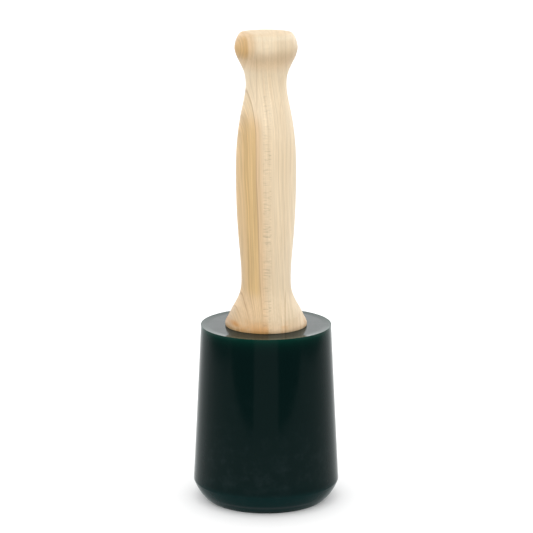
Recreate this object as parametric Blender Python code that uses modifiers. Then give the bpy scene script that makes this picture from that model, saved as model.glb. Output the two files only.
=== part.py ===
"""Round carver's mallet: a cast rubber head on a turned maple handle, held by a lag screw.

The mallet stands on its head. The origin is the centre of the head's flat base, and +Z runs up
the handle. All sizes are in metres. Every piece is turned about the Z axis, so it is described
by an outline of (radius, height) points.
"""

import math

import bmesh
import bpy
import numpy as np

OVERALL_HEIGHT = 0.2540
CLEARANCE = 0.0003  # gap between pieces that touch

# Head: a tapered block, widest just above its chamfered base
HEAD_HEIGHT = 0.0962
HEAD_TOP_RADIUS = 0.0352
HEAD_WIDE_RADIUS = 0.0395
HEAD_BASE_RADIUS = 0.0325
HEAD_RIM_ROUND = 0.0012
CHAMFER_HEIGHT = 0.0103
CHAMFER_BULGE = 0.0009  # how far the chamfer swells out from a straight line
HEAD_SEGMENTS = 72

# Hole through the head: a bore for the tenon, and a wider recess below it for the fixing
BORE_RADIUS = 0.0095
RECESS_RADIUS = 0.0145
RECESS_DEPTH = 0.0155
HOLE_EDGE_CHAMFER = 0.0005

# Handle: (height, radius) where the outline turns or changes pace
GRIP_STATIONS = (
    (0.0970, 0.02203),  # edge of the foot
    (0.1010, 0.02040),
    (0.1060, 0.01796),  # flare of the foot
    (0.1120, 0.01482),
    (0.1230, 0.01328),  # waist
    (0.1450, 0.01482),
    (0.1720, 0.01603),  # swell that fills the palm
    (0.2000, 0.01506),
    (0.2140, 0.01276),
    (0.2260, 0.01082),  # neck
    (0.2340, 0.01205),
    (0.2460, 0.01664),  # knob
)
FOOT_EDGE_CHAMFER = 0.0004
KNOB_CROWN_RADIUS = 0.0127  # flat of the knob's top
KNOB_ROUNDNESS = 1.7  # 2 is a quarter ellipse, 1 a straight chamfer
GRIP_STEP = 0.0042  # height between rings of the grip
TENON_END_GAP = 0.0008  # the tenon stops short of the recess, so that the washer draws it down
TENON_CHAMFER = 0.0008
HANDLE_SEGMENTS = 56

# Lag screw, 5/16 inch by 2-1/2 inch
SCREW_LENGTH = 0.0635
SCREW_RADIUS = 0.00395
SCREW_CORE_RADIUS = 0.00295
HEX_ACROSS_FLATS = 0.0127
HEX_HEIGHT = 0.0054
HEX_CHAMFER_ANGLE = math.radians(30)
SHANK_LENGTH = 0.0190  # smooth part below the head
POINT_LENGTH = 0.0085
THREAD_PITCH = 0.0254 / 9
THREAD_DEPTH = 0.00125  # from the ridge's crest to the middle of its root, inside the core
THREAD_POINTS_PER_TURN = 14
THREAD_PATH_MIN_RADIUS = 0.0004  # at the screw's point
PILOT_SLACK = 0.0040  # hole beyond the screw's tip
DRILL_POINT_ANGLE = math.radians(118)
SCREW_SEGMENTS = 28

# Washers
FLAT_WASHER_RADIUS = 0.0127
FLAT_WASHER_THICKNESS = 0.0016
WASHER_HOLE_RADIUS = 0.0044
WASHER_EDGE_ROUND = 0.0004
LOCK_WASHER_RADIUS = 0.0074
LOCK_WASHER_THICKNESS = 0.0020
LOCK_WASHER_SPLIT = 0.0009
LOCK_WASHER_SPLIT_TILT = math.radians(20)
WASHER_SEGMENTS = 48

# Heights of the fixing, from the recess's floor down
FLAT_WASHER_TOP = RECESS_DEPTH - CLEARANCE
LOCK_WASHER_TOP = FLAT_WASHER_TOP - FLAT_WASHER_THICKNESS - CLEARANCE
HEX_TOP = LOCK_WASHER_TOP - LOCK_WASHER_THICKNESS - CLEARANCE
HEX_BOTTOM = HEX_TOP - HEX_HEIGHT
SCREW_TIP = HEX_TOP + SCREW_LENGTH
THREAD_START = HEX_TOP + SHANK_LENGTH


def clear_scene():
    for obj in list(bpy.data.objects):
        bpy.data.objects.remove(obj, do_unlink=True)


def new_collection(name):
    collection = bpy.data.collections.new(name)
    bpy.context.scene.collection.children.link(collection)
    return collection


def make_material(name, colour, roughness, metallic):
    material = bpy.data.materials.new(name)
    material.use_nodes = True
    shader = material.node_tree.nodes["Principled BSDF"]
    shader.inputs["Base Color"].default_value = (*colour, 1.0)
    shader.inputs["Roughness"].default_value = roughness
    shader.inputs["Metallic"].default_value = metallic
    return material


def place(name, mesh, collection, material=None):
    obj = bpy.data.objects.new(name, mesh)
    collection.objects.link(obj)
    if material:
        mesh.materials.append(material)
    return obj


def hide_tool(obj):
    obj.hide_render = True
    obj.display_type = "WIRE"


def turned(name, outline, segments, collection, material=None, closed=False):
    """Turns an outline of (radius, height) points about Z. A closed outline makes a ring."""
    points = [(radius, 0.0, height) for radius, height in outline]
    edges = [(i, i + 1) for i in range(len(points) - 1)]
    if closed:
        edges.append((len(points) - 1, 0))
    mesh = bpy.data.meshes.new(name)
    mesh.from_pydata(points, edges, [])
    obj = place(name, mesh, collection, material)
    screw = obj.modifiers.new("Turn", "SCREW")
    screw.axis = "Z"
    screw.steps = segments
    screw.render_steps = segments
    screw.use_smooth_shade = True
    screw.use_merge_vertices = True
    screw.merge_threshold = 0.00001
    return obj


def boolean(obj, operation, tool):
    modifier = obj.modifiers.new(tool.name, "BOOLEAN")
    modifier.operation = operation
    modifier.solver = "EXACT"
    modifier.object = tool


def arc_between(start, end, bulge, steps):
    """Points on the arc from start to end that swells out, to the left of its way, by bulge."""
    start = np.array(start)
    chord = np.array(end) - start
    side = np.array((-chord[1], chord[0])) / np.linalg.norm(chord)
    return [
        tuple(start + chord * t + side * bulge * 4 * t * (1 - t))
        for t in np.linspace(0, 1, steps + 1)
    ]


def quarter_round(side, end, steps, power=2.0):
    """A corner that starts upright at side and ends level at end; a power of 2 is an ellipse."""
    angles = np.linspace(0, math.pi / 2, steps + 1)
    return [
        (
            end[0] + (side[0] - end[0]) * math.cos(angle) ** (2 / power),
            side[1] + (end[1] - side[1]) * math.sin(angle) ** (2 / power),
        )
        for angle in angles
    ]


def spline_slopes(heights, radii):
    """Slopes of the cubic spline through the stations: free at its first, level at its last."""
    count = len(heights)
    steps = np.diff(heights)
    rates = np.diff(radii) / steps
    system = np.zeros((count, count))
    target = np.zeros(count)
    system[0, :2] = (2, 1)
    target[0] = 3 * rates[0]
    for i in range(1, count - 1):
        system[i, i - 1 : i + 2] = (steps[i], 2 * (steps[i - 1] + steps[i]), steps[i - 1])
        target[i] = 3 * (rates[i - 1] * steps[i] + rates[i] * steps[i - 1])
    system[-1, -1] = 1
    return np.linalg.solve(system, target)


def grip_outline():
    """The grip from the knob's widest place down to the foot's edge."""
    heights, radii = np.array(GRIP_STATIONS).T
    slopes = spline_slopes(heights, radii)
    rings = round((heights[-1] - heights[0]) / GRIP_STEP)
    outline = []
    for height in np.linspace(heights[-1], heights[0], rings + 1):
        i = min(np.searchsorted(heights, height, side="right") - 1, len(heights) - 2)
        span = heights[i + 1] - heights[i]
        t = (height - heights[i]) / span
        radius = (
            radii[i] * (1 + 2 * t) * (1 - t) ** 2
            + radii[i + 1] * t**2 * (3 - 2 * t)
            + slopes[i] * span * t * (1 - t) ** 2
            + slopes[i + 1] * span * t**2 * (t - 1)
        )
        outline.append((radius, height))
    return outline


def make_head(collection, material):
    side = (HEAD_WIDE_RADIUS, CHAMFER_HEIGHT)
    rim = quarter_round(
        (HEAD_TOP_RADIUS, HEAD_HEIGHT - HEAD_RIM_ROUND),
        (HEAD_TOP_RADIUS - HEAD_RIM_ROUND, HEAD_HEIGHT),
        steps=4,
    )
    outline = [
        (BORE_RADIUS + HOLE_EDGE_CHAMFER, HEAD_HEIGHT),
        *reversed(rim),
        *arc_between(side, (HEAD_BASE_RADIUS, 0.0), CHAMFER_BULGE, steps=6),
        (RECESS_RADIUS + HOLE_EDGE_CHAMFER, 0.0),
        (RECESS_RADIUS, HOLE_EDGE_CHAMFER),
        (RECESS_RADIUS, RECESS_DEPTH),
        (BORE_RADIUS, RECESS_DEPTH),
        (BORE_RADIUS, HEAD_HEIGHT - HOLE_EDGE_CHAMFER),
    ]
    turned("head", outline, HEAD_SEGMENTS, collection, material, closed=True)


def make_handle(collection, material):
    knob_height, knob_radius = GRIP_STATIONS[-1]
    foot_radius = GRIP_STATIONS[0][1]
    foot_height = HEAD_HEIGHT + CLEARANCE
    tenon_radius = BORE_RADIUS - CLEARANCE
    tenon_end = RECESS_DEPTH + TENON_END_GAP
    pilot_radius = SCREW_RADIUS + CLEARANCE
    pilot_depth = SCREW_TIP + PILOT_SLACK
    drill_point = pilot_radius / math.tan(DRILL_POINT_ANGLE / 2)
    crown = quarter_round(
        (knob_radius, knob_height),
        (KNOB_CROWN_RADIUS, OVERALL_HEIGHT),
        steps=7,
        power=KNOB_ROUNDNESS,
    )
    outline = [
        (0.0, OVERALL_HEIGHT),
        *reversed(crown[1:]),
        *grip_outline(),
        (foot_radius - FOOT_EDGE_CHAMFER, foot_height),
        (tenon_radius, foot_height),
        (tenon_radius, tenon_end + TENON_CHAMFER),
        (tenon_radius - TENON_CHAMFER, tenon_end),
        (pilot_radius, tenon_end),
        (pilot_radius, pilot_depth),
        (0.0, pilot_depth + drill_point),
    ]
    turned("handle", outline, HANDLE_SEGMENTS, collection, material)


def core_radius(height):
    """Radius of the screw's core, which narrows to its point."""
    return SCREW_CORE_RADIUS * min(1.0, (SCREW_TIP - height) / POINT_LENGTH)


def make_thread(tools):
    """A ridge of diamond section that winds up the core and fades out at both ends."""
    end = SCREW_TIP - POINT_LENGTH / 3
    turns = (end - THREAD_START) / THREAD_PITCH
    count = round(turns * THREAD_POINTS_PER_TURN)
    curve = bpy.data.curves.new("thread_path", "CURVE")
    curve.dimensions = "3D"
    curve.twist_mode = "Z_UP"
    curve.bevel_depth = THREAD_DEPTH
    curve.bevel_resolution = 0
    curve.use_fill_caps = True
    spline = curve.splines.new("POLY")
    spline.points.add(count)
    for i, point in enumerate(spline.points):
        turn = turns * i / count
        height = THREAD_START + THREAD_PITCH * turn
        fade = min(1.0, 0.5 + turn, 0.3 + (turns - turn) / 2)
        sunk = SCREW_RADIUS - SCREW_CORE_RADIUS - THREAD_DEPTH
        radius = max(core_radius(height) + sunk, THREAD_PATH_MIN_RADIUS)
        angle = math.tau * turn
        point.co = (radius * math.cos(angle), radius * math.sin(angle), height, 1.0)
        point.radius = fade
    path = place("thread_path", curve, tools)
    graph = bpy.context.evaluated_depsgraph_get()
    mesh = bpy.data.meshes.new_from_object(path.evaluated_get(graph))
    bpy.data.objects.remove(path)
    shape = bmesh.new()
    shape.from_mesh(mesh)
    bmesh.ops.remove_doubles(shape, verts=shape.verts, dist=0.000001)
    bmesh.ops.recalc_face_normals(shape, faces=shape.faces)
    shape.to_mesh(mesh)
    shape.free()
    thread = place("thread", mesh, tools)
    hide_tool(thread)
    return thread


def make_hex_blank(tools):
    """The screw's hex head, its lower corners cut back by a cone as on a forged head."""
    corner = HEX_ACROSS_FLATS / 2 / math.cos(math.pi / 6)
    middle = (HEX_TOP + HEX_BOTTOM) / 2
    bpy.ops.mesh.primitive_cylinder_add(
        vertices=6, radius=corner, depth=HEX_HEIGHT, location=(0.0, 0.0, middle)
    )
    blank = bpy.context.object
    blank.name = "hex_blank"
    for collection in list(blank.users_collection):
        collection.objects.unlink(blank)
    tools.objects.link(blank)
    face_radius = HEX_ACROSS_FLATS / 2 * 0.96
    flare = 2 * HEX_HEIGHT / math.tan(HEX_CHAMFER_ANGLE)
    cone = turned(
        "hex_chamfer",
        [
            (0.0, HEX_BOTTOM + 2 * HEX_HEIGHT),
            (face_radius + flare, HEX_BOTTOM + 2 * HEX_HEIGHT),
            (face_radius, HEX_BOTTOM),
            (0.0, HEX_BOTTOM),
        ],
        SCREW_SEGMENTS * 2,
        tools,
    )
    boolean(blank, "INTERSECT", cone)
    hide_tool(cone)
    hide_tool(blank)
    return blank


def make_lag_screw(collection, tools, material):
    overlap = HEX_HEIGHT / 2
    runout = SCREW_RADIUS - SCREW_CORE_RADIUS
    outline = [
        (0.0, SCREW_TIP),
        (SCREW_CORE_RADIUS, SCREW_TIP - POINT_LENGTH),
        (SCREW_CORE_RADIUS, THREAD_START + runout),
        (SCREW_RADIUS, THREAD_START),
        (SCREW_RADIUS, HEX_TOP - overlap),
        (0.0, HEX_TOP - overlap),
    ]
    screw = turned("lag_screw", outline, SCREW_SEGMENTS, collection, material)
    boolean(screw, "UNION", make_thread(tools))
    boolean(screw, "UNION", make_hex_blank(tools))


def ring_outline(outer, inner, top, thickness, edge):
    """Section of a washer, with its outer edges eased."""
    bottom = top - thickness
    return [
        (inner, top),
        (outer - edge, top),
        (outer, top - edge),
        (outer, bottom + edge),
        (outer - edge, bottom),
        (inner, bottom),
    ]


def make_flat_washer(collection, material):
    outline = ring_outline(
        FLAT_WASHER_RADIUS,
        WASHER_HOLE_RADIUS,
        FLAT_WASHER_TOP,
        FLAT_WASHER_THICKNESS,
        WASHER_EDGE_ROUND,
    )
    turned("flat_washer", outline, WASHER_SEGMENTS, collection, material, closed=True)


def make_lock_washer(collection, tools, material):
    """A ring cut through once on the slant, as it lies when it is squeezed flat."""
    outline = ring_outline(
        LOCK_WASHER_RADIUS,
        WASHER_HOLE_RADIUS,
        LOCK_WASHER_TOP,
        LOCK_WASHER_THICKNESS,
        WASHER_EDGE_ROUND / 2,
    )
    ring = turned("lock_washer", outline, WASHER_SEGMENTS, collection, material, closed=True)
    mesh = bpy.data.meshes.new("lock_washer_split")
    shape = bmesh.new()
    bmesh.ops.create_cube(shape, size=1.0)
    size = (LOCK_WASHER_RADIUS, LOCK_WASHER_SPLIT, 4 * LOCK_WASHER_THICKNESS)
    bmesh.ops.scale(shape, vec=size, verts=shape.verts)
    shape.to_mesh(mesh)
    shape.free()
    cutter = place("lock_washer_split", mesh, tools)
    middle = LOCK_WASHER_TOP - LOCK_WASHER_THICKNESS / 2
    cutter.location = ((LOCK_WASHER_RADIUS + WASHER_HOLE_RADIUS) / 2, 0.0, middle)
    cutter.rotation_euler = (LOCK_WASHER_SPLIT_TILT, 0.0, 0.0)
    hide_tool(cutter)
    boolean(ring, "DIFFERENCE", cutter)


def main():
    clear_scene()
    parts = new_collection("rubber_mallet")
    tools = new_collection("cutters")
    rubber = make_material("green_rubber", (0.008, 0.022, 0.021), 0.25, 0.0)
    maple = make_material("maple", (0.78, 0.60, 0.40), 0.5, 0.0)
    zinc = make_material("zinc_plated_steel", (0.62, 0.62, 0.60), 0.35, 1.0)
    make_head(parts, rubber)
    make_handle(parts, maple)
    make_flat_washer(parts, zinc)
    make_lock_washer(parts, tools, zinc.copy())
    make_lag_screw(parts, tools, zinc.copy())


main()
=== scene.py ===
"""Looks of the rubber mallet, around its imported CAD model.

The head and the handle are turned again at a fine resolution from the CAD nodes' own outlines,
and get a glossy cast rubber and a solid maple grain. The screw and washers in the base are
rebuilt with their thread, chamfers and split. Lengths are in metres, and materials work in
millimetres, because their object coordinates are scaled by MM.
"""

import math

import bpy
import numpy as np
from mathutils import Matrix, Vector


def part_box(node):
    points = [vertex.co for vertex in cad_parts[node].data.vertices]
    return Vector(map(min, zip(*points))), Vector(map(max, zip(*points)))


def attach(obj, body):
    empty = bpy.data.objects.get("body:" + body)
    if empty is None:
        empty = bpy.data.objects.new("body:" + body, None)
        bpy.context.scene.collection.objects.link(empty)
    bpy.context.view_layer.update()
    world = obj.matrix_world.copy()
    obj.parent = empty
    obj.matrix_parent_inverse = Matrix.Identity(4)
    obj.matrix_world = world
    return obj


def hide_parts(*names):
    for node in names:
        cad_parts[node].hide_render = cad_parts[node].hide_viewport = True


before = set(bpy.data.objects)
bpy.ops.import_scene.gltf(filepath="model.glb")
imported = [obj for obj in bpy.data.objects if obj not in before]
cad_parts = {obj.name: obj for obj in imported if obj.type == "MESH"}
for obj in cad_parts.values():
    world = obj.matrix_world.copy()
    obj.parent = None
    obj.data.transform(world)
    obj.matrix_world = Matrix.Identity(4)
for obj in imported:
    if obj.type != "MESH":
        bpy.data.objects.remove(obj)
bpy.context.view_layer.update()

MM = 1000.0

# Fine meshes. An outline is a list of (radius, height) points.
HEAD_SEGMENTS = 256
HANDLE_SEGMENTS = 224
SCREW_SEGMENTS = 96
WASHER_SEGMENTS = 128
LONG_RUN = 0.008  # a stretch of an outline longer than this is straight
CORNER_BESIDE_RUN = math.radians(20)  # a sharper turn than this at its end is an edge
CORNER_IN_CURVE = math.radians(50)
SHARP_SHADING = math.radians(38)
EASE_POINTS = 6
EASE_SHARE = 0.45  # the easing of an edge takes at most this much of the stretch beside it
SAME = 1e-6  # lengths this close are equal
NEAR = 0.0005  # points this close are meant to be one edge

# Head: the CAD's round at the rim and the lip in its place, and the easing of the edges
HEAD_STEP = 0.00025
HEAD_RUN_STEP = 0.004
HEAD_EASING = 0.00035
HEAD_EDGES = (  # radius, height and easing of the edges that are eased further
    (0.0395, 0.0103, 0.0007),
    (0.0325, 0.0, 0.0024),
)
RIM_ROUND = 0.0012
LIP_WIDTH = 0.0045
LIP_RISE = 0.0003
LIP_POWER = 1.5
LIP_POINTS = 7

# Handle: its domed crown, and the foot that the CAD keeps a little above the head
HANDLE_STEP = 0.0008
HANDLE_RUN_STEP = 0.003
HANDLE_EASING = 0.0002
CROWN_DROP = 0.0002
CROWN_POWER = 3
CROWN_POINTS = 16
FOOT_INNER_RADIUS = 0.0095
FOOT_EDGE_SHIFT = 0.0003
FOOT_GAP_LIMIT = 0.0004  # points closer than this to the head's top are the foot's underside
FOOT_SEAT = 0.00003  # the gap that is left

# Lag screw: what its box in the frame doesn't say
HEX_HEIGHT = 0.0054
HEX_CHAMFER_ANGLE = math.radians(30)
HEX_FACE = 0.96  # the round face inside the chamfer, as a share of the width across flats
HEX_BLANK = 1.01  # radius that is turned before the flats are cut, of the corners' radius
HEX_TOP_RING = 0.98  # rings on the hexagon's two faces, as shares of the round face's radius
HEX_END_RINGS = (0.9, 0.5)
HEX_SIDE_RINGS = 12
HEX_CHAMFER_RINGS = 14
SHANK_LENGTH = 0.0190
SHANK_RADIUS = 0.00395
SHANK_FILLET = (  # out from the shank and up from the hexagon
    (0.0, 0.0004),
    (0.0001, 0.0001),
    (0.0005, 0.0),
)
CORE_STEP = 0.0006  # length of the step from the shank down to the thread's core
POINT_LENGTH = 0.0085
POINT_POWER = 0.8  # 1 would be a straight cone
POINT_FADE = 0.6  # share of the point's length over which the thread fades out
TIP_BLUNTNESS = 0.0001
THREAD_PITCH = 0.0254 / 9
THREAD_HEIGHT = 0.0010
THREAD_CREST = 0.00035
THREAD_BASE = 0.0019
THREAD_RINGS = 22  # in each turn

# Washers
WASHER_HOLE_RADIUS = 0.0044
FLAT_WASHER_ROUND = 0.0004
LOCK_WASHER_ROUND = 0.0003
PUNCH_ROUND = 0.4  # how round the other outer edge is, as a share of the rounded one
HOLE_ROUND = 0.3  # and the edges of the hole
ROUND_POINTS = 5
SPLIT_WIDTH = 0.0009
SPLIT_TILT = math.radians(20)

# Camera: where the reference view is taken from
SENSOR_WIDTH = 36.0
FOCAL_LENGTH = 148.6
CAMERA_DISTANCE = 1.1512
CAMERA_HEIGHT = 0.3858
CAMERA_PITCH = math.radians(12.62)
CAMERA_SHIFT = 0.0008

# Studio: strengths of the light, and bearings in degrees from the front as ramps
SKY_HORIZON = 1.45
SKY_MIDDLE = 2.05
SKY_ZENITH = 1.05
SKY_SIDE_DIM = 0.25
BACKDROP = 2.25
FRONT_LIGHT = (22.0, 19.0, 0.0, 1.12)
SIDE_LIGHT = (60.0, 100.0, 0.0, 0.18)
BACK_LIGHT = (105.0, 135.0, 0.0, 0.6)
DIM_FROM, DIM_TO = (45.0, 75.0), (140.0, 110.0)
BACKDROP_BEARING = (110.0, 150.0)
FLOOR_ALBEDO = 0.90
TABLE_LEFT, TABLE_RIGHT = -0.46, 0.46
TABLE_FRONT, TABLE_BACK = -0.25, 0.80
FLOOR_REACH = 20.0


# ---------------------------------------------------------------- outlines


def cad_outline(node):
    """The (radius, height) points of a turned CAD node in order, from its edges at y = 0."""
    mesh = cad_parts[node].data
    points = [tuple(round(c, 7) for c in v.co) for v in mesh.vertices]
    links = {}
    for edge in mesh.edges:
        a, b = (points[i] for i in edge.vertices)
        if a != b and all(abs(p[1]) < SAME and p[0] > -SAME for p in (a, b)):
            links.setdefault(a, set()).add(b)
            links.setdefault(b, set()).add(a)
    ends = [p for p in links if len(links[p]) == 1]
    here = max(ends or links, key=lambda p: (p[2], p[0]))
    ordered = [here]
    while links[here]:
        there = max(links[here], key=lambda p: p[0])
        links[here].discard(there)
        links[there].discard(here)
        here = there
        ordered.append(here)
    return [np.array((x, z)) for x, _, z in ordered]


def turn_at(points, i):
    """Angle by which the outline turns at point i."""
    before = points[i] - points[i - 1]
    after = points[i + 1] - points[i]
    cosine = before @ after / (np.linalg.norm(before) * np.linalg.norm(after))
    return math.acos(max(-1.0, min(1.0, cosine)))


def is_corner(points, i):
    """Whether the outline has an edge at point i, and doesn't just curve through it."""
    runs = [np.linalg.norm(points[i + k + 1] - points[i + k]) for k in (-1, 0)]
    limit = CORNER_BESIDE_RUN if max(runs) > LONG_RUN else CORNER_IN_CURVE
    return turn_at(points, i) > limit


def tangent(points, i, corners, side):
    """Direction of the curve at point i, on its left (-1) or right (0) side."""
    if i in corners:
        chord = points[i + side + 1] - points[i + side]
        return chord / np.linalg.norm(chord)
    before = points[i] - points[i - 1]
    after = points[i + 1] - points[i]
    lengths = np.linalg.norm(before), np.linalg.norm(after)
    if max(lengths) > LONG_RUN:
        straight = before if lengths[0] > lengths[1] else after
        return straight / np.linalg.norm(straight)
    blend = before / lengths[0] ** 2 + after / lengths[1] ** 2
    return blend / np.linalg.norm(blend)


def fine_outline(points, step, run_step, easing, edges=()):
    """The outline with its curves resampled smoothly, every step, and its edges eased.

    Straight runs get a point every run_step. Easing is how far the easing of an edge reaches
    along the outline, and edges gives its radius, height and own easing for some.
    """
    last = len(points) - 1
    corners = {0, last} | {i for i in range(1, last) if is_corner(points, i)}
    fine = [points[0]]
    for i in range(last):
        start, end = points[i], points[i + 1]
        chord = end - start
        length = np.linalg.norm(chord)
        straight = length > LONG_RUN or (i in corners and i + 1 in corners)
        count = max(1, math.ceil(length / (run_step if straight else step)))
        first = tangent(points, i, corners, 0) * length
        final = tangent(points, i + 1, corners, -1) * length
        for t in np.linspace(0, 1, count + 1)[1:]:
            if straight:
                fine.append(start + chord * t)
                continue
            fine.append(
                start * (1 + 2 * t) * (1 - t) ** 2
                + end * t**2 * (3 - 2 * t)
                + first * t * (1 - t) ** 2
                + final * t**2 * (t - 1)
            )
    return ease_corners(fine, easing, edges)


def easing_at(point, easing, edges):
    for radius, height, own_easing in edges:
        if math.dist(point, (radius, height)) < NEAR:
            return own_easing
    return easing


def ease_corners(points, easing, edges):
    """Rounds each sharp point: a short curve that leaves and joins the outline smoothly."""
    eased = [points[0]]
    for i in range(1, len(points) - 1):
        if turn_at(points, i) < CORNER_BESIDE_RUN:
            eased.append(points[i])
            continue
        reach = easing_at(points[i], easing, edges)
        before, after = points[i - 1] - points[i], points[i + 1] - points[i]
        near = points[i] + before * min(EASE_SHARE, reach / np.linalg.norm(before))
        far = points[i] + after * min(EASE_SHARE, reach / np.linalg.norm(after))
        for t in np.linspace(0, 1, EASE_POINTS):
            eased.append(near * (1 - t) ** 2 + points[i] * 2 * t * (1 - t) + far * t**2)
    return [*eased, points[-1]]


# ------------------------------------------------------------------ meshes


def add_piece(name, points, faces, material, replaced):
    """A smooth-shaded piece that rides on the root body and stands for a CAD node."""
    mesh = bpy.data.meshes.new(name)
    mesh.from_pydata(points, [], faces)
    mesh.validate()
    mesh.shade_smooth()
    mesh.set_sharp_from_angle(angle=SHARP_SHADING)
    mesh.materials.append(material)
    piece = bpy.data.objects.new(name, mesh)
    bpy.context.scene.collection.objects.link(piece)
    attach(piece, "root")
    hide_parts(replaced)
    return piece


def ring_faces(rings, segments, closed):
    """Quads between rings of a turned grid, wound so that they face away from the outline's
    left, which is outwards where the outline runs down the outer side."""
    faces = []
    for i in range(rings if closed else rings - 1):
        for j in range(segments):
            a = i * segments + j
            b = i * segments + (j + 1) % segments
            shift = ((i + 1) % rings - i) * segments
            faces.append((a, a + shift, b + shift, b))
    return faces


def turned_grid(outline, segments, radius_of=None):
    """Points of an outline turned about Z, ring by ring, as an array."""
    angles = np.linspace(0, math.tau, segments, endpoint=False)
    rings = []
    for radius, height in outline:
        radii = np.full(segments, radius)
        if radius_of is not None:
            radii = radius_of(radii, angles, height)
        heights = np.full(segments, height)
        rings.append(np.stack((radii * np.cos(angles), radii * np.sin(angles), heights), 1))
    return np.concatenate(rings)


def turned_solid(outline, segments, radius_of=None):
    """A closed solid from an outline whose first and last points lie on the axis."""
    inner = outline[1:-1]
    points = turned_grid(inner, segments, radius_of)
    faces = ring_faces(len(inner), segments, closed=False)
    top, bottom = len(points), len(points) + 1
    ends = [(0.0, 0.0, outline[0][1]), (0.0, 0.0, outline[-1][1])]
    points = np.concatenate((points, ends))
    last = (len(inner) - 1) * segments
    for j in range(segments):
        after = (j + 1) % segments
        faces.append((top, j, after))
        faces.append((bottom, last + after, last + j))
    return points, faces


def with_lip(loop):
    """The head's outline with a crisp lip, where the cast rubber crept up the mould's wall, in
    place of the round at its rim. The loop starts at the inner end of that round."""
    flat, top = loop[0]
    round_end = top - RIM_ROUND
    rim = max(radius for radius, height in loop if height > round_end - SAME)
    lip = [
        np.array((rim - LIP_WIDTH * (1 - t), top + LIP_RISE * t**LIP_POWER))
        for t in np.linspace(0.0, 1.0, LIP_POINTS)
    ]
    rest = [p for p in loop if p[0] < flat - SAME or p[1] < round_end + SAME]
    return lip + rest


def make_head(material):
    """The head, with a lip at its rim. Its outline is a loop, because a bore runs through it."""
    loop = with_lip(cad_outline("head")[:-1])
    # start in the middle of the bore, so that every corner is inside the list
    bore_radius = min(p[0] for p in loop)
    bore = [i for i, p in enumerate(loop) if p[0] < bore_radius + SAME]
    split = max(bore, key=lambda i: loop[i][1])
    loop = loop[split:] + loop[: split + 1]
    middle = (loop[0] + loop[-2]) / 2 if loop[-2][0] < bore_radius + SAME else loop[0]
    loop = [middle, *loop[:-1], middle]
    outline = fine_outline(loop, HEAD_STEP, HEAD_RUN_STEP, HEAD_EASING, HEAD_EDGES)[:-1]
    points = turned_grid(outline, HEAD_SEGMENTS)
    faces = ring_faces(len(outline), HEAD_SEGMENTS, closed=True)
    return add_piece("head_rubber", points, faces, material, "head")


def make_handle(material):
    """The handle, with a slightly domed crown, and with its foot let down onto the head: the
    CAD keeps them a little apart."""
    points = cad_outline("handle")
    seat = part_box("head")[1].z
    flat, top = points[0]
    dome = [
        np.array((radius, top - CROWN_DROP * (radius / flat) ** CROWN_POWER))
        for radius in np.linspace(0.0, flat, CROWN_POINTS)
    ]
    for point in points:
        if point[0] > FOOT_INNER_RADIUS and 0.0 < point[1] - seat < FOOT_GAP_LIMIT:
            point += (FOOT_EDGE_SHIFT, 0.0)
            point[1] = seat + FOOT_SEAT
    points = [*dome, *points[1:]]
    outline = fine_outline(points, HANDLE_STEP, HANDLE_RUN_STEP, HANDLE_EASING)
    grid, faces = turned_solid(outline, HANDLE_SEGMENTS)
    return add_piece("handle_maple", grid, faces, material, "handle")


def hex_radius(angles, flats):
    """Distance from the axis to a hexagon's side, at each angle."""
    return flats / 2 / np.cos((angles + math.pi / 6) % (math.pi / 3) - math.pi / 6)


def make_lag_screw(material):
    """Hex head, smooth shank and a coarse wood thread that fades into a gimlet point."""
    low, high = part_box("lag_screw")
    flats = high.x - low.x
    hex_top = low.z + HEX_HEIGHT
    thread_start = hex_top + SHANK_LENGTH
    core = SHANK_RADIUS - THREAD_HEIGHT
    face = flats / 2 * HEX_FACE
    corner = flats / 2 / math.cos(math.pi / 6) * HEX_BLANK
    chamfer_rise = (corner - face) * math.tan(HEX_CHAMFER_ANGLE)
    fillet_radius = SHANK_RADIUS + SHANK_FILLET[-1][0]

    def core_radius(height):
        return core * min(1.0, max(0.0, (high.z - height) / POINT_LENGTH) ** POINT_POWER)

    def radius_of(radii, angles, height):
        if height < hex_top + SAME and radii[0] > fillet_radius + SAME:
            return np.minimum(radii, hex_radius(angles, flats))
        if height < thread_start:
            return radii
        turn = ((height - thread_start) / THREAD_PITCH - angles / math.tau) % 1.0
        from_crest = np.abs(turn - 0.5) * THREAD_PITCH
        slope = (THREAD_BASE - THREAD_CREST) / 2
        ridge = np.clip((THREAD_BASE / 2 - from_crest) / slope, 0.0, 1.0)
        fade_in = min(1.0, (height - thread_start) / THREAD_PITCH)
        fade_out = min(1.0, (high.z - height) / (POINT_LENGTH * POINT_FADE))
        return core_radius(height) + THREAD_HEIGHT * ridge * fade_in * fade_out

    thread_heights = np.arange(high.z - TIP_BLUNTNESS, thread_start, -THREAD_PITCH / THREAD_RINGS)
    side_heights = np.linspace(hex_top, low.z + chamfer_rise, HEX_SIDE_RINGS)
    chamfer_shares = np.linspace(1, 0, HEX_CHAMFER_RINGS)[1:]
    outline = [
        (0.0, high.z),
        *((core_radius(z), z) for z in thread_heights),
        (core, thread_start),
        (SHANK_RADIUS, thread_start - CORE_STEP),
        *((SHANK_RADIUS + out, hex_top + up) for out, up in SHANK_FILLET),
        (face * HEX_TOP_RING, hex_top),
        *((corner, z) for z in side_heights),
        *((face + (corner - face) * t, low.z + chamfer_rise * t) for t in chamfer_shares),
        *((face * share, low.z) for share in HEX_END_RINGS),
        (0.0, low.z),
    ]
    grid, faces = turned_solid(outline, SCREW_SEGMENTS, radius_of)
    return add_piece("lag_screw_zinc", grid, faces, material, "lag_screw")


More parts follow.
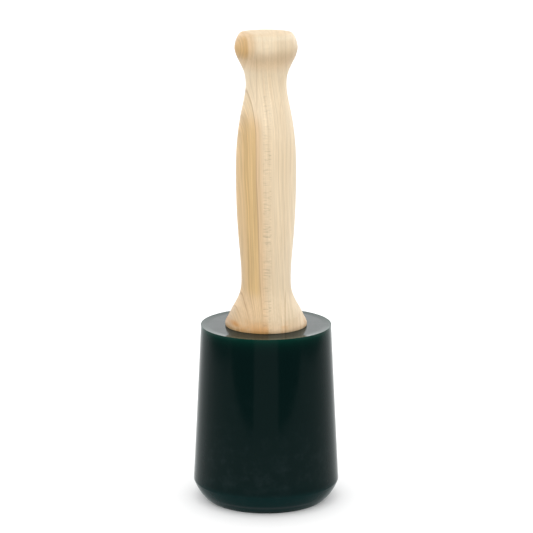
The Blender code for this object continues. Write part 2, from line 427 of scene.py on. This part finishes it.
def washer_section(low, high, inner, outer, edge):
    """Section of a punched washer: its upper outer edge is rounded by the punch, and the other
    edges are crisper."""
    angles = np.linspace(0, math.pi / 2, ROUND_POINTS)
    arc = [(math.sin(angle), math.cos(angle)) for angle in angles]
    crisp = edge * PUNCH_ROUND
    hole = edge * HOLE_ROUND
    return [
        (inner + hole, high),
        *((outer - edge + x * edge, high - edge + z * edge) for x, z in arc),
        *((outer - crisp + x * crisp, low + crisp - z * crisp) for x, z in reversed(arc)),
        (inner + hole, low),
        (inner, low + hole),
        (inner, high - hole),
    ]


def make_flat_washer(material):
    low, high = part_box("flat_washer")
    section = washer_section(low.z, high.z, WASHER_HOLE_RADIUS, high.x, FLAT_WASHER_ROUND)
    points = turned_grid(section, WASHER_SEGMENTS)
    faces = ring_faces(len(section), WASHER_SEGMENTS, closed=True)
    return add_piece("flat_washer_zinc", points, faces, material, "flat_washer")


def make_lock_washer(material):
    """A ring with one slanted split, swept from one end of the split round to the other."""
    low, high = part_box("lock_washer")
    outer = high.y
    section = washer_section(low.z, high.z, WASHER_HOLE_RADIUS, outer, LOCK_WASHER_ROUND)
    middle_radius = (WASHER_HOLE_RADIUS + outer) / 2
    middle_height = (low.z + high.z) / 2
    half_gap = SPLIT_WIDTH / 2 / middle_radius
    steps = WASHER_SEGMENTS
    points = []
    for k in range(steps + 1):
        sweep = half_gap + (math.tau - 2 * half_gap) * k / steps
        for radius, height in section:
            lean = math.tan(SPLIT_TILT) * (height - middle_height) / middle_radius
            angle = sweep - lean
            points.append((radius * math.cos(angle), radius * math.sin(angle), height))
    size = len(section)
    faces = [tuple(range(size)), tuple(reversed(range(steps * size, (steps + 1) * size)))]
    for k in range(steps):
        for i in range(size):
            a, b = k * size + i, k * size + (i + 1) % size
            faces.append((a, a + size, b + size, b))
    return add_piece("lock_washer_zinc", points, faces, material, "lock_washer")


# --------------------------------------------------------------- materials


class Graph:
    """Adds nodes to a material or a world, and links them."""

    def __init__(self, tree):
        self.tree = tree

    def node(self, kind, inputs=(), **settings):
        made = self.tree.nodes.new(kind)
        for key, value in settings.items():
            setattr(made, key, value)
        for key, value in dict(inputs).items():
            self.put(value, made.inputs[key])
        return made

    def put(self, value, socket):
        if isinstance(value, bpy.types.NodeSocket):
            self.tree.links.new(value, socket)
        else:
            socket.default_value = value

    def math(self, operation, a, b=0.0, c=0.0, clamp=False):
        made = self.node("ShaderNodeMath", {0: a, 1: b, 2: c}, operation=operation)
        made.use_clamp = clamp
        return made.outputs[0]

    def ramp(self, value, start, end, low=0.0, high=1.0):
        """Goes smoothly from low to high as value goes from start to end."""
        made = self.node(
            "ShaderNodeMapRange",
            {"Value": value, "From Min": start, "From Max": end, "To Min": low, "To Max": high},
            interpolation_type="SMOOTHSTEP",
        )
        return made.outputs["Result"]

    def mix(self, factor, a, b, blend="MIX"):
        made = self.node("ShaderNodeMix", data_type="RGBA", blend_type=blend)
        colours = [s for s in made.inputs if s.type == "RGBA"]
        self.put(factor, made.inputs["Factor"])
        self.put(a, colours[0])
        self.put(b, colours[1])
        return next(s for s in made.outputs if s.type == "RGBA")

    def noise(self, vector, scale, detail=2.0, roughness=0.5, seed=0.0):
        """Noise from about -1 to 1, with a scale per millimetre along each axis."""
        scaled = self.node(
            "ShaderNodeVectorMath", {0: vector, 1: scale}, operation="MULTIPLY"
        ).outputs[0]
        made = self.node(
            "ShaderNodeTexNoise",
            {"Vector": scaled, "W": seed, "Scale": 1.0, "Detail": detail, "Roughness": roughness},
            noise_dimensions="4D",
        )
        return self.math("MULTIPLY_ADD", made.outputs[0], 2.0, -1.0)

    def position(self):
        """Object coordinates in millimetres, with their X, Y and Z."""
        place = self.node("ShaderNodeTexCoord").outputs["Object"]
        scaled = self.node(
            "ShaderNodeVectorMath", {0: place, "Scale": MM}, operation="SCALE"
        ).outputs[0]
        parts = self.node("ShaderNodeSeparateXYZ", {0: scaled}).outputs
        return scaled, parts[0], parts[1], parts[2]


def new_material(name):
    material = bpy.data.materials.new(name)
    material.use_nodes = True
    graph = Graph(material.node_tree)
    return material, graph, material.node_tree.nodes["Principled BSDF"]


def rgb(red, green, blue):
    """A colour given as sRGB from 0 to 255, as linear values for a shader."""

    def linear(value):
        value /= 255
        return value / 12.92 if value <= 0.04045 else ((value + 0.055) / 1.055) ** 2.4

    return (linear(red), linear(green), linear(blue), 1.0)


MAPLE_PALE = rgb(208, 187, 155)
MAPLE_CREAM = rgb(220, 202, 173)
MAPLE_SHOULDER_HIGHLIGHT = rgb(220, 206, 180)
MAPLE_HONEY = rgb(200, 169, 119)
MAPLE_AMBER = rgb(198, 160, 104)
MAPLE_LINE = rgb(140, 104, 62)
MAPLE_ROSE = rgb(201, 170, 130)
MAPLE_FOOT_STAIN_AND_SHADE = rgb(186, 131, 62)

# The handle in millimetres: the foot flares out from z 112 down to 96, the waist is at 123, the
# swell of the grip at 172, the neck at 226, and the knob from 236 to 254. x runs to the right,
# and depth across the growth rings. A tuple below is a ramp, unless it says otherwise: where it
# starts and ends, in z if it doesn't say by what, and its values there if they aren't 0 and 1.
RING_LEAN = (-10.0, 8.0, 0.29, 0.04)  # by x: how far a ring moves across for each step back
RING_DRIFT = 0.048  # how far it moves for each step up, as far as DRIFT_TOP
DRIFT_TOP = 178.0
NECK_SWING = (200.0, 243.0, 0.0, 4.6)  # and how far on the way to the knob
RING_WIDTH = 2.1
RING_SHARPNESS = 4.0
RINGS_AT_KNOB = (222.0, 238.0, 1.0, 0.5)
RINGS_IN_PLAIN_STRIP = (0.0, 1.0, 1.0, 0.2)  # by how plain the wood is
DARK_RINGS_AT_FOOT = (100.0, 110.0, 0.3, 1.0)

HONEY_WIDTH = 6.8
HONEY_INNER_EDGE = (0.2, -0.9)  # by depth, as the next
HONEY_OUTER_EDGE = (-HONEY_WIDTH - 1.0, -HONEY_WIDTH + 1.0, 0.5, 1.0)
HONEY_AT_FOOT = (111.0, 119.0, 0.22, 1.0)
HONEY_AT_SHOULDER = (198.0, 216.0, 1.0, 0.35)
HONEY_AT_KNOB = (238.0, 244.0)
HONEY_AT_CROWN = (254.5, 251.0)
BESIDE_HONEY = (6.5, 0.4)  # by depth
AMBER_AT_KNOB = (225.0, 240.0)
NECK_BELOW = (216.0, 204.0)  # the rose tint beside the honey zone stays off the neck
NECK_ABOVE = (236.0, 242.0)
ROSE_BAND = (240.0, 4.0)  # middle and half width in z, under the knob
SHOULDER_HIGHLIGHT_BAND = (252.0, 1.0)  # and of the painted highlight around the crown's shoulder

FLECK_MIDDLE = 0.6  # the strip of ray flecks down the front and the back
FLECK_HALF_WIDTH = 2.2
FLECK_EDGE = 0.5
FLECKS_AT_NECK = (228.0, 208.0, 0.3, 1.0)
PLAIN_HALF_WIDTH = 2.6  # the paler, evener wood around the flecks
PLAIN_BELOW = (212.0, 196.0)
FIBRE_IN_PLAIN_STRIP = (0.0, 1.0, 1.0, 0.45)  # by how plain the wood is

# the foot's darker orange base: partly a real stain, partly painted contact shade next to the head
STAIN_AND_SHADE_BELOW = (104.5, 97.0)
STAIN_AND_SHADE_RIGHT_EDGE = (4.2, 2.4, 0.25, 0.72)  # by depth, as the next
STAIN_AND_SHADE_LEFT_EDGE = (-13.0, -5.0, 0.3, 0.8)
SPOT_HEIGHT = (99.6, 1.3)  # the darkest mark on the foot: its middle and half width in z
SPOT_DEPTH = (-15.6, 1.5)  # and in depth
BLOTCH_BELOW = (107.0, 99.0, 0.0, 0.35)

# Painted shade and light: the handle's brightness, and what is added to it in places
TONE_ALONG = (115.0, 225.0, 0.955, 1.085)
TONE_OF_KNOB = (240.0, 247.0, 0.0, -0.045)
# painted shade under the knob
TONE_UNDER_KNOB = -0.14
UNDER_KNOB = (241.8, 2.6)  # middle and half width in z
FOOT_BELOW = (114.0, 103.0)
TONE_ACROSS_FOOT = (-21.0, -11.0, -0.14, 0.015)  # by x: painted shade on the foot's left side, a little painted light on its right
# the crown's darker end grain, with painted shade on its top
TONE_OF_CROWN = -0.13
FIBRE_AT_KNOB = (222.0, 238.0, 0.31, 0.15)

RING_END_FADE = 4.0  # how far dark rings and growth lines fade before and after their ends
LINE_END_FADE = 3.0
# depth, half width, strength, highest z: rings that stand out in and beside the honey zone
DARK_RINGS = (
    (-0.2, 0.26, 0.42, 234.0),
    (-2.3, 0.20, 0.18, 160.0),
    (-4.8, 0.24, 0.26, 260.0),
    (-6.0, 0.20, 0.22, 260.0),
    (-9.1, 0.24, 0.50, 117.0),
    (-12.8, 0.26, 0.50, 117.0),
)
# x, half width, lowest and highest z, strength: single darker growth lines on the front
GROWTH_LINES = (
    (10.2, 0.16, 94.0, 116.0, 0.60),
    (9.8, 0.20, 134.0, 165.0, 0.16),
    (12.8, 0.32, 180.0, 200.0, 0.16),
    (7.4, 0.16, 208.0, 219.0, 0.28),
    (-4.8, 0.20, 215.0, 243.0, 0.34),
)


def ring_depth(g, place, x, y, z):
    """Distance in millimetres across the growth rings, about 0 at the honey zone's inner edge.

    The rings run nearly along the handle and lean back, and they drift away from the axis
    towards the knob, so that the turned flares cut them into arches.
    """
    leaned = g.math("MULTIPLY_ADD", y, g.ramp(x, *RING_LEAN), x)
    drift = g.math("MULTIPLY", g.math("MINIMUM", z, DRIFT_TOP), RING_DRIFT)
    straight = g.math("ADD", leaned, g.math("ADD", drift, g.ramp(z, *NECK_SWING)))
    broad = g.noise(place, (0.035, 0.035, 0.008), detail=1.0, seed=3.1)
    fine = g.noise(place, (0.12, 0.12, 0.018), detail=2.0, seed=7.7)
    wander = g.math("MULTIPLY_ADD", fine, 0.6, g.math("MULTIPLY", broad, 0.4))
    return g.math("ADD", straight, wander)


def bump_shape(g, value, middle, half_width):
    """1 where value is at middle, falling smoothly to 0 at twice the half width."""
    off = g.math("ABSOLUTE", g.math("SUBTRACT", value, middle))
    return g.ramp(off, half_width * 2, 0.0)


def honey_strength(g, depth, z, streak):
    """How much of the darker honey zone there is: it ends sharply inside and fades outwards."""
    across = g.math("MULTIPLY", g.ramp(depth, *HONEY_INNER_EDGE), g.ramp(depth, *HONEY_OUTER_EDGE))
    upper = g.math("MAXIMUM", g.ramp(z, *HONEY_AT_SHOULDER), g.ramp(z, *HONEY_AT_KNOB))
    along = g.math("MULTIPLY", g.ramp(z, *HONEY_AT_FOOT), upper)
    along = g.math("MULTIPLY", along, g.ramp(z, *HONEY_AT_CROWN))
    streaky = g.math("MULTIPLY_ADD", streak, 0.6, 0.85)
    zone = g.math("MULTIPLY", across, along)
    return g.math("MULTIPLY", zone, streaky, clamp=True)


def growth_lines(g, depth, plain, x, y, z):
    """Rings darken slowly and end sharply, and a few single lines stand out."""
    turns = g.math("DIVIDE", depth, RING_WIDTH)
    number = g.math("FLOOR", turns)
    late = g.math("POWER", g.math("SUBTRACT", turns, number), RING_SHARPNESS)
    strength = g.node(
        "ShaderNodeTexWhiteNoise", {"W": number}, noise_dimensions="1D"
    ).outputs["Value"]
    line = g.math("MULTIPLY", late, g.math("MULTIPLY_ADD", strength, 0.16, 0.04))
    line = g.math("MULTIPLY", line, g.ramp(z, *RINGS_AT_KNOB))
    line = g.math("MULTIPLY", line, g.ramp(plain, *RINGS_IN_PLAIN_STRIP))
    above_stain_and_shade = g.ramp(z, *DARK_RINGS_AT_FOOT)
    for middle, half_width, amount, high in DARK_RINGS:
        below = g.ramp(z, high + RING_END_FADE, high - RING_END_FADE, 0.0, amount)
        there = g.math("MULTIPLY", below, above_stain_and_shade)
        ring = g.math("MULTIPLY", bump_shape(g, depth, middle, half_width), there)
        line = g.math("MAXIMUM", line, ring)
    front = g.ramp(y, 2.0, -2.0)
    for middle, half_width, low, high, amount in GROWTH_LINES:
        across = bump_shape(g, x, middle, half_width)
        above = g.ramp(z, low - LINE_END_FADE, low + LINE_END_FADE)
        below = g.ramp(z, high + LINE_END_FADE, high - LINE_END_FADE)
        along = g.math("MULTIPLY", above, below)
        there = g.math("MULTIPLY", g.math("MULTIPLY", across, along), front)
        line = g.math("MAXIMUM", line, g.math("MULTIPLY", there, amount))
    return line


def ray_flecks(g, place, x, z):
    """Rungs of short dashes, in the strip where the cut runs straight across the rings."""
    off = g.math("ABSOLUTE", g.math("SUBTRACT", x, FLECK_MIDDLE))
    band = g.ramp(off, FLECK_HALF_WIDTH + FLECK_EDGE, FLECK_HALF_WIDTH - FLECK_EDGE)
    band = g.math("MULTIPLY", band, g.ramp(z, *FLECKS_AT_NECK))
    patches = g.noise(place, (0.10, 0.10, 0.07), detail=1.0, seed=2.8)
    patches = g.ramp(patches, -0.25, 0.25, 0.6, 1.0)
    dash = g.noise(place, (0.32, 0.32, 1.3), detail=2.0, seed=4.4)
    dark = g.math("MULTIPLY", g.ramp(dash, 0.05, 0.35), -0.20)
    light = g.math("MULTIPLY", g.ramp(dash, -0.05, -0.40), 0.10)
    return g.math("MULTIPLY", g.math("ADD", dark, light), g.math("MULTIPLY", band, patches))


def handle_tone(g, x, z, end_grain):
    """Painted shade and light along the handle: the brightness rises towards the knob, and the
    upper knob, the underside of the knob and the foot's left side are painted darker, the foot's
    right a little lighter, and the crown darker, partly for its end grain and partly as painted
    shade."""
    underside = g.math("MULTIPLY", bump_shape(g, z, *UNDER_KNOB), TONE_UNDER_KNOB)
    knob = g.math("ADD", g.ramp(z, *TONE_OF_KNOB), underside)
    foot = g.math("MULTIPLY", g.ramp(z, *FOOT_BELOW), g.ramp(x, *TONE_ACROSS_FOOT))
    crown = g.math("MULTIPLY", end_grain, TONE_OF_CROWN)
    # painted shade and light, added to the handle's brightness
    marks = g.math("ADD", knob, g.math("ADD", foot, crown))
    return g.math("ADD", g.ramp(z, *TONE_ALONG), marks)


def foot_stain_and_shade(g, place, depth, z):
    """How far the foot darkens to orange near the head: partly a real stain, partly painted contact
    shade where it meets the dark head, with one darker spot on its left.
    """
    stain_and_shade = g.math("MINIMUM", g.ramp(depth, *STAIN_AND_SHADE_RIGHT_EDGE), g.ramp(depth, *STAIN_AND_SHADE_LEFT_EDGE))
    stain_and_shade = g.math("MULTIPLY", g.ramp(z, *STAIN_AND_SHADE_BELOW), stain_and_shade)
    spot = g.math("MULTIPLY", bump_shape(g, z, *SPOT_HEIGHT), bump_shape(g, depth, *SPOT_DEPTH))
    stain_and_shade = g.math("MAXIMUM", stain_and_shade, g.math("MULTIPLY", spot, 0.9))
    blotch = g.ramp(g.noise(place, (0.16, 0.16, 0.22), detail=2.0, seed=3.6), 0.0, 0.45)
    blotch = g.math("MULTIPLY", blotch, g.ramp(z, *BLOTCH_BELOW))
    return g.math("ADD", stain_and_shade, blotch)


def make_maple():
    """Hard maple, turned and fine-sanded: growth rings cut lengthwise, fibres, ray flecks."""
    material, g, shader = new_material("maple")
    place, x, y, z = g.position()
    depth = ring_depth(g, place, x, y, z)
    sheet = g.node("ShaderNodeCombineXYZ", {0: depth, 1: y, 2: z}).outputs[0]
    streak = g.noise(sheet, (0.55, 0.06, 0.010), detail=2.0, seed=5.9)

    # zones of the wood, with a painted highlight and painted shade among them
    cloud = g.noise(place, (0.06, 0.06, 0.015), detail=2.0, seed=1.3)
    colour = g.mix(g.ramp(cloud, -0.5, 0.5), MAPLE_PALE, MAPLE_CREAM)
    honey = honey_strength(g, depth, z, streak)
    not_neck = g.math("MAXIMUM", g.ramp(z, *NECK_BELOW), g.ramp(z, *NECK_ABOVE))
    beside_honey = g.math("MULTIPLY", g.ramp(depth, *BESIDE_HONEY), not_neck)
    strip = bump_shape(g, x, FLECK_MIDDLE, PLAIN_HALF_WIDTH)
    plain = g.math("MULTIPLY", strip, g.ramp(z, *PLAIN_BELOW))
    colour = g.mix(g.math("MULTIPLY", plain, 0.9), colour, MAPLE_PALE)
    # painted highlight: a paler cream around the crown's shoulder, for the sheen of light there
    shoulder_highlight = g.math("MULTIPLY", bump_shape(g, z, *SHOULDER_HIGHLIGHT_BAND), 0.5)
    colour = g.mix(shoulder_highlight, colour, MAPLE_SHOULDER_HIGHLIGHT)
    rose = g.math("MULTIPLY", bump_shape(g, z, *ROSE_BAND), 0.6)
    rose = g.math("MAXIMUM", rose, g.math("MULTIPLY", beside_honey, 0.8))
    rose = g.math("MAXIMUM", rose, g.ramp(streak, 0.05, 0.6, 0.0, 0.45))
    colour = g.mix(rose, colour, MAPLE_ROSE)
    colour = g.mix(honey, colour, g.mix(g.ramp(z, *AMBER_AT_KNOB), MAPLE_HONEY, MAPLE_AMBER))
    colour = g.mix(growth_lines(g, depth, plain, x, y, z), colour, MAPLE_LINE)
    # partly a real stain, partly painted contact shade at the foot
    colour = g.mix(foot_stain_and_shade(g, place, depth, z), colour, MAPLE_FOOT_STAIN_AND_SHADE)

    # fibres lie in sheets along the rings, and pores show wherever they are cut
    coarse = g.noise(sheet, (0.50, 0.05, 0.008), detail=1.0, seed=4.2)
    fibre = g.noise(sheet, (1.9, 0.10, 0.018), detail=3.0, roughness=0.65, seed=2.2)
    thread = g.noise(place, (1.9, 1.9, 0.05), detail=2.0, seed=6.6)
    pore = g.ramp(g.noise(place, (5.0, 5.0, 0.25), detail=1.0, seed=9.4), 0.3, 0.8)

    normal = g.node("ShaderNodeNewGeometry").outputs["Normal"]
    upright = g.math("ABSOLUTE", g.node("ShaderNodeSeparateXYZ", {0: normal}).outputs[2])
    end_grain = g.math("POWER", upright, 8.0)
    colour = g.mix(g.math("MULTIPLY", end_grain, 0.12), colour, MAPLE_ROSE)
    # the handle's painted shade and light, and the ray flecks
    shade = g.math("ADD", handle_tone(g, x, z, end_grain), ray_flecks(g, place, x, z))
    even = g.ramp(plain, *FIBRE_IN_PLAIN_STRIP)
    shade = g.math("MULTIPLY_ADD", coarse, g.math("MULTIPLY", even, 0.12), shade)
    strong = g.math("MULTIPLY_ADD", honey, 0.26, g.ramp(z, *FIBRE_AT_KNOB))
    shade = g.math("MULTIPLY_ADD", fibre, g.math("MULTIPLY", even, strong), shade)
    shade = g.math("MULTIPLY_ADD", thread, 0.10, shade)
    shade = g.math("MULTIPLY_ADD", pore, -0.05, shade)
    grey = g.node("ShaderNodeCombineColor", {0: shade, 1: shade, 2: shade}).outputs[0]
    colour = g.mix(1.0, colour, grey, blend="MULTIPLY")

    g.put(colour, shader.inputs["Base Color"])
    rough = g.math("MULTIPLY_ADD", fibre, 0.06, g.math("MULTIPLY_ADD", end_grain, 0.35, 0.46))
    g.put(rough, shader.inputs["Roughness"])
    shader.inputs["Specular IOR Level"].default_value = 0.4
    relief = g.math("ADD", g.math("MULTIPLY", thread, 0.5), g.math("MULTIPLY", pore, -0.6))
    bump = g.node("ShaderNodeBump", {"Strength": 0.25, "Distance": 0.00008, "Height": relief})
    g.put(bump.outputs[0], shader.inputs["Normal"])
    return material


RUBBER_BODY = (0.0017, 0.0070, 0.0066, 1.0)
RUBBER_GLOW = (0.0025, 0.0270, 0.0190, 1.0)
RUBBER_TEAL_GLOW = (0.0017, 0.0132, 0.0132, 1.0)
RUBBER_DUST = (0.016, 0.025, 0.027, 1.0)
RUBBER_CHAMFER_HIGHLIGHT = (0.026, 0.033, 0.035, 1.0)
RUBBER_DARK_REFLECTION = (0.0006, 0.0030, 0.0030, 1.0)
RUBBER_IOR = 1.13  # low, because the photo's reflections are weak
# The head in millimetres, with ramps in z as for the handle
RIM_GLOW_REACH = 2.2
WIDE_GLOW_REACH = 2.4
CHAMFER_EDGE = 1.0
CHAMFER_HIGHLIGHT_BAND = (4.1, 0.6)  # middle and half width in z of the painted highlight line on the chamfer
DARK_REFLECTION_RISE = 2.5  # the painted dark reflection's height above the head's widest point
DARK_REFLECTION_HALF_WIDTH = 1.6
DARK_REFLECTION_STRENGTH = 0.32
DUST_BELOW = (60.0, 20.0)
DUST_STRENGTH = 0.34
SMEAR_BELOW = (70.0, 35.0, 0.0, 0.3)
WORN_BASE = (0.6, 0.1)
RIM_SEARCH_DEPTH = 2.0  # the rim is the widest point within this depth of the top


def edge_glow(g, x, y, z, radius, height, reach):
    """Painted glow: 1 at a circular edge of the head, and less with distance from it; the brighter
    colour stands in for light that leaks in there.
    """
    across = g.math("SQRT", g.math("ADD", g.math("MULTIPLY", x, x), g.math("MULTIPLY", y, y)))
    off_radius = g.math("SUBTRACT", across, radius)
    off_height = g.math("SUBTRACT", z, height)
    square = g.math("MULTIPLY", off_height, off_height)
    distance = g.math("SQRT", g.math("MULTIPLY_ADD", off_radius, off_radius, square))
    return g.math("POWER", 2.718, g.math("DIVIDE", distance, -reach))


def make_rubber():
    """Dark green cast rubber, glossy and slightly wavy, with a dusty lower half."""
    material, g, shader = new_material("green_rubber")
    place, x, y, z = g.position()
    outline = cad_outline("head")
    top_height = max(p[1] for p in outline) * MM
    wide = max(outline, key=lambda p: p[0]) * MM
    rim = [p for p in outline if p[1] * MM > top_height - RIM_SEARCH_DEPTH]
    rim_radius = max(p[0] for p in rim) * MM

    # painted glow: brighter green at the rim and the widest edge, for light leaking through the
    # rubber
    glow = edge_glow(g, x, y, z, rim_radius, top_height, RIM_GLOW_REACH)
    low_glow = edge_glow(g, x, y, z, wide[0], wide[1], WIDE_GLOW_REACH)
    colour = g.mix(glow, RUBBER_BODY, RUBBER_GLOW)
    # painted glow: the chamfer and the widest edge in a greener teal, for light coming through the
    # rubber
    chamfer = g.ramp(z, wide[1] + CHAMFER_EDGE, wide[1] - CHAMFER_EDGE)
    colour = g.mix(g.math("MAXIMUM", chamfer, low_glow), colour, RUBBER_TEAL_GLOW)
    # painted highlight: a lighter line low on the chamfer
    chamfer_highlight = g.math("MULTIPLY", bump_shape(g, z, *CHAMFER_HIGHLIGHT_BAND), 0.6)
    colour = g.mix(chamfer_highlight, colour, RUBBER_CHAMFER_HIGHLIGHT)
    # painted reflection: a dark band above the widest edge, where the wall mirrors the shaded floor
    # by the base
    dark_reflection = bump_shape(g, z, wide[1] + DARK_REFLECTION_RISE, DARK_REFLECTION_HALF_WIDTH)
    colour = g.mix(g.math("MULTIPLY", dark_reflection, DARK_REFLECTION_STRENGTH), colour, RUBBER_DARK_REFLECTION)

    mottle = g.noise(place, (0.16, 0.16, 0.16), detail=4.0, roughness=0.65, seed=6.1)
    smudge = g.ramp(mottle, -0.1, 0.5, 0.12, 1.0)
    above_dark_reflection = g.ramp(z, wide[1] + 3.0, wide[1] + 8.0, 0.4, 1.0)
    lower = g.math("MULTIPLY", g.ramp(z, *DUST_BELOW), above_dark_reflection)
    dust = g.math("MULTIPLY", g.math("MULTIPLY", smudge, lower), DUST_STRENGTH)
    smear = g.noise(place, (0.07, 0.07, 0.11), detail=3.0, seed=2.9)
    smear = g.math("MULTIPLY", g.ramp(smear, 0.12, 0.5), g.ramp(z, *SMEAR_BELOW))
    worn = g.math("MULTIPLY", g.ramp(z, *WORN_BASE), g.ramp(mottle, -0.4, 0.4, 0.2, 0.8))
    dust = g.math("MAXIMUM", dust, g.math("MAXIMUM", smear, worn))
    colour = g.mix(dust, colour, RUBBER_DUST)
    g.put(colour, shader.inputs["Base Color"])

    rough = g.math("MULTIPLY_ADD", g.ramp(mottle, -0.4, 0.6), 0.05, 0.10)
    rough = g.math("MULTIPLY_ADD", dust, 0.25, rough)
    g.put(rough, shader.inputs["Roughness"])
    shader.inputs["IOR"].default_value = RUBBER_IOR
    shader.inputs["Specular Tint"].default_value = (0.86, 1.0, 1.0, 1.0)
    shader.inputs["Sheen Weight"].default_value = 0.03
    shader.inputs["Sheen Roughness"].default_value = 0.35
    shader.inputs["Sheen Tint"].default_value = (0.3, 1.0, 1.0, 1.0)

    wave = g.noise(place, (0.09, 0.09, 0.05), detail=1.0, seed=8.8)
    grit = g.noise(place, (1.5, 1.5, 1.5), detail=2.0, seed=0.7)
    relief = g.math("MULTIPLY_ADD", grit, 0.02, wave)
    bump = g.node("ShaderNodeBump", {"Strength": 0.35, "Distance": 0.0001, "Height": relief})
    g.put(bump.outputs[0], shader.inputs["Normal"])
    return material


ZINC = (0.60, 0.61, 0.62, 1.0)
ZINC_WARM = (0.62, 0.58, 0.50, 1.0)
ZINC_DULL = (0.36, 0.36, 0.36, 1.0)


def make_zinc(name, seed):
    """Zinc-plated steel: a fine spangle, warm passivation in places, and duller handling marks."""
    material, g, shader = new_material(name)
    place, _, _, _ = g.position()
    cells = g.node("ShaderNodeTexVoronoi", {"Vector": place, "Scale": 0.9}).outputs["Distance"]
    cloud = g.noise(place, (0.35, 0.35, 0.35), detail=3.0, seed=seed)
    marks = g.noise(place, (1.8, 1.8, 0.6), detail=4.0, roughness=0.7, seed=seed + 2.5)
    colour = g.mix(g.ramp(cloud, -0.3, 0.5), ZINC, ZINC_WARM)
    colour = g.mix(g.math("MULTIPLY", g.ramp(marks, 0.1, 0.7), 0.6), colour, ZINC_DULL)
    g.put(colour, shader.inputs["Base Color"])
    shader.inputs["Metallic"].default_value = 1.0
    rough = g.math("MULTIPLY_ADD", cells, 0.10, 0.28)
    rough = g.math("MULTIPLY_ADD", g.ramp(marks, 0.0, 0.6), 0.15, rough)
    g.put(rough, shader.inputs["Roughness"])
    bump = g.node("ShaderNodeBump", {"Strength": 0.2, "Distance": 0.00005, "Height": marks})
    g.put(bump.outputs[0], shader.inputs["Normal"])
    return material


# ------------------------------------------------------------------- studio


def make_camera():
    data = bpy.data.cameras.new("camera")
    data.sensor_width = SENSOR_WIDTH
    data.lens = FOCAL_LENGTH
    data.shift_x = CAMERA_SHIFT
    data.clip_end = 100.0
    camera = bpy.data.objects.new("camera", data)
    camera.location = (0.0, -CAMERA_DISTANCE, CAMERA_HEIGHT)
    camera.rotation_euler = (math.pi / 2 - CAMERA_PITCH, 0.0, 0.0)
    bpy.context.scene.collection.objects.link(camera)
    bpy.context.scene.camera = camera


def make_floor_material():
    material, _, shader = new_material("pale_floor")
    shader.inputs["Base Color"].default_value = (FLOOR_ALBEDO,) * 3 + (1.0,)
    shader.inputs["Roughness"].default_value = 0.9
    shader.inputs["Specular IOR Level"].default_value = 0.0
    return material


def make_floor_piece(name, points, faces, material):
    mesh = bpy.data.meshes.new(name)
    mesh.from_pydata(points, [], faces)
    mesh.materials.append(material)
    piece = bpy.data.objects.new(name, mesh)
    bpy.context.scene.collection.objects.link(piece)
    return piece


def make_floor():
    """A white table under the mallet, and the rest of the floor, which only the camera sees."""
    material = make_floor_material()
    table = [
        (TABLE_LEFT, TABLE_FRONT, 0.0),
        (TABLE_RIGHT, TABLE_FRONT, 0.0),
        (TABLE_RIGHT, TABLE_BACK, 0.0),
        (TABLE_LEFT, TABLE_BACK, 0.0),
    ]
    far = [(math.copysign(FLOOR_REACH, x), math.copysign(FLOOR_REACH, y), 0.0) for x, y, _ in table]
    make_floor_piece("table_top", table, [(0, 1, 2, 3)], material)
    around = [(i, 4 + i, 4 + (i + 1) % 4, (i + 1) % 4)[::-1] for i in range(4)]
    rest = make_floor_piece("floor_beyond", table + far, around, material)
    rest.visible_diffuse = False
    rest.visible_glossy = False
    rest.visible_transmission = False


def make_surroundings():
    """A white dome, and below the table top a room that is darkest to either side of the front."""
    world = bpy.data.worlds.new("studio")
    bpy.context.scene.world = world
    world.use_nodes = True
    g = Graph(world.node_tree)
    direction = g.node("ShaderNodeTexCoord").outputs["Generated"]
    x, y, z = g.node("ShaderNodeSeparateXYZ", {0: direction}).outputs
    bearing = g.math("ABSOLUTE", g.math("ARCTAN2", x, g.math("MULTIPLY", y, -1.0)))
    degrees = g.math("MULTIPLY", bearing, 180.0 / math.pi)
    front = g.math("ADD", g.ramp(degrees, *FRONT_LIGHT), g.ramp(degrees, *SIDE_LIGHT))
    room = g.math("ADD", front, g.ramp(degrees, *BACK_LIGHT))
    rise = g.ramp(z, 0.0, 0.5, SKY_HORIZON, SKY_MIDDLE)
    sky = g.math("MINIMUM", rise, g.ramp(z, 0.55, 0.98, SKY_MIDDLE, SKY_ZENITH))
    beside = g.math("MULTIPLY", g.ramp(degrees, *DIM_FROM), g.ramp(degrees, *DIM_TO))
    dimmed = g.math("MULTIPLY", beside, g.ramp(z, 0.10, 0.40, 0.0, SKY_SIDE_DIM))
    sky = g.math("MULTIPLY", sky, g.math("SUBTRACT", 1.0, dimmed))
    backdrop = g.math("MULTIPLY", g.ramp(degrees, *BACKDROP_BEARING), g.ramp(z, 0.6, 0.35))
    sky = g.math("MULTIPLY_ADD", backdrop, g.math("SUBTRACT", BACKDROP, sky), sky)
    above = g.ramp(z, -0.02, 0.03)
    light = g.math("ADD", room, g.math("MULTIPLY", above, g.math("SUBTRACT", sky, room)))
    background = world.node_tree.nodes["Background"]
    background.inputs["Color"].default_value = (1.0, 1.0, 1.0, 1.0)
    g.put(light, background.inputs["Strength"])


bpy.context.scene.view_settings.view_transform = "Standard"
make_camera()
make_surroundings()
make_floor()
make_head(make_rubber())
make_handle(make_maple())
make_flat_washer(make_zinc("zinc_flat", 1.0))
make_lock_washer(make_zinc("zinc_lock", 4.0))
make_lag_screw(make_zinc("zinc_screw", 7.0))
